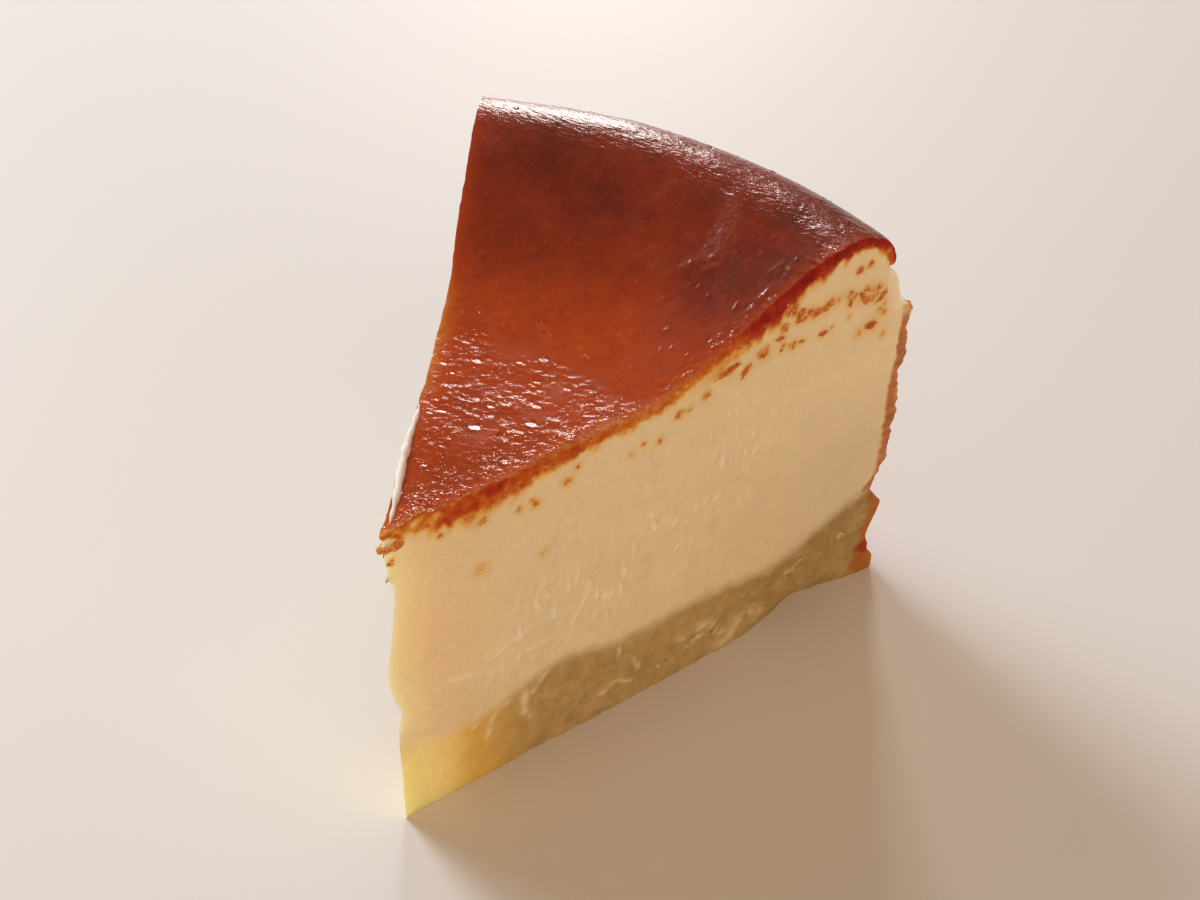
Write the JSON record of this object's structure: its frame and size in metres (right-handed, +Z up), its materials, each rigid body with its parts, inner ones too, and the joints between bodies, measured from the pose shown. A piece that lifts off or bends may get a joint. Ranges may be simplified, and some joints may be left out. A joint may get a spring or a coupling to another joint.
{
  "type": "basque cheesecake slice",
  "caption": "Wedge slice of baked basque cheesecake: dished glossy browned top, pale creamy cut faces, craggy side crust and a thin dense base layer.",
  "frame": {"origin": "middle of the slice's outline, on the plane it rests on", "axes": "+Z up, +Y from the tip of the slice towards the rim, X across the slice"},
  "size_m": [0.0611, 0.0761, 0.0608],
  "materials": {
    "cheesecake": "soft moist baked cream cheese, glossy caramel brown skin on top, rough browned side",
    "base_layer": "dense moist crumb, matte, browned on its outer edge"
  },
  "bodies": {
    "root": {"cheesecake": "cheesecake", "base_layer": "base_layer"}
  },
  "joints": []
}
